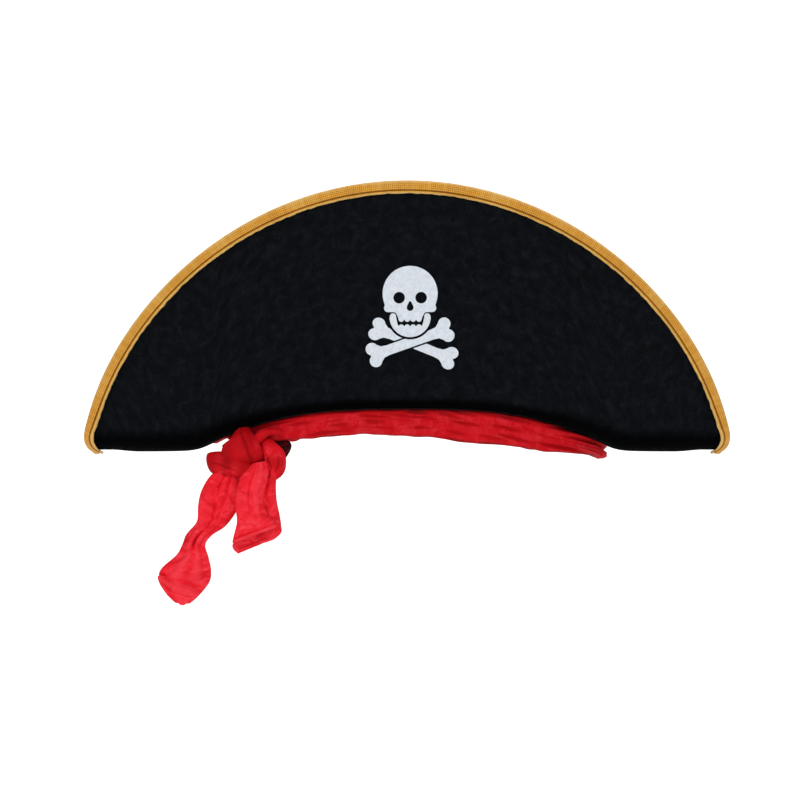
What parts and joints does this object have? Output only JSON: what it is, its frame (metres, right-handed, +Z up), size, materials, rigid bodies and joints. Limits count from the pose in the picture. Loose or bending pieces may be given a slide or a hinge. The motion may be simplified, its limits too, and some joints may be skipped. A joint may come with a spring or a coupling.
{
  "type": "pirate hat",
  "caption": "Soft costume hat with a half-moon flap front and back, gold edge binding, skull-and-crossbones print and a knotted red sash.",
  "frame": {"origin": "centre of the head opening, level with the underside of the side wings", "axes": "+X along the hat to the viewer's right, -Y to the front (the printed flap), +Z up"},
  "size_m": [0.4504, 0.176, 0.2969],
  "materials": {
    "black_velour": "short-pile velour",
    "foam": "thin sheet foam",
    "lining_cloth": "nonwoven cloth",
    "gold_binding": "woven metallic braid",
    "white_print": "matt printed ink",
    "red_velvet": "crushed velvet",
    "label_satin": "woven satin, blank"
  },
  "bodies": {
    "hat": {"crown_wall_front": "black_velour", "crown_wall_back": "black_velour", "crown_top": "black_velour", "crown_interlining": "foam", "crown_lining": "lining_cloth", "sweatband": "lining_cloth", "care_label": "label_satin", "front_base_velour": "black_velour", "front_base_foam": "foam", "front_base_facing": "black_velour", "back_base_velour": "black_velour", "back_base_foam": "foam", "back_base_facing": "black_velour", "left_tip_binding": "gold_binding", "right_tip_binding": "gold_binding", "sash_band": "red_velvet", "knot_wrap": "red_velvet", "knot_loop": "red_velvet"},
    "front_flap": {"front_flap_velour": "black_velour", "front_flap_foam": "foam", "front_flap_facing": "black_velour", "front_binding": "gold_binding", "print_cranium": "white_print", "print_jaw": "white_print", "print_bone_over": "white_print", "print_bone_under": "white_print"},
    "back_flap": {"back_flap_velour": "black_velour", "back_flap_foam": "foam", "back_flap_facing": "black_velour", "back_binding": "gold_binding"},
    "long_tail": {"sash_tail_long": "red_velvet", "tail_long_hem": "red_velvet"},
    "short_tail": {"sash_tail_short": "red_velvet", "tail_short_hem": "red_velvet"}
  },
  "joints": [
    {"name": "front_flap_fold", "type": "hinge", "parent": "hat", "child": "front_flap", "pos_m": [0, -0.0616, 0.0457], "axis": [1, 0, 0], "range_deg": [0, 25], "stiffness_Nm_per_rad": 0.5, "springref_deg": -8.59},
    {"name": "back_flap_fold", "type": "hinge", "parent": "hat", "child": "back_flap", "pos_m": [0, 0.0616, 0.0457], "axis": [-1, 0, 0], "range_deg": [0, 25], "stiffness_Nm_per_rad": 0.5, "springref_deg": -8.59},
    {"name": "long_tail_swing", "type": "hinge", "parent": "hat", "child": "long_tail", "pos_m": [-0.1218, -0.036, -0.0235], "axis": [0, -1, 0], "range_deg": [-35, 30]},
    {"name": "short_tail_swing", "type": "hinge", "parent": "hat", "child": "short_tail", "pos_m": [-0.0968, -0.0465, -0.0285], "axis": [0, -1, 0], "range_deg": [-30, 35]}
  ]
}
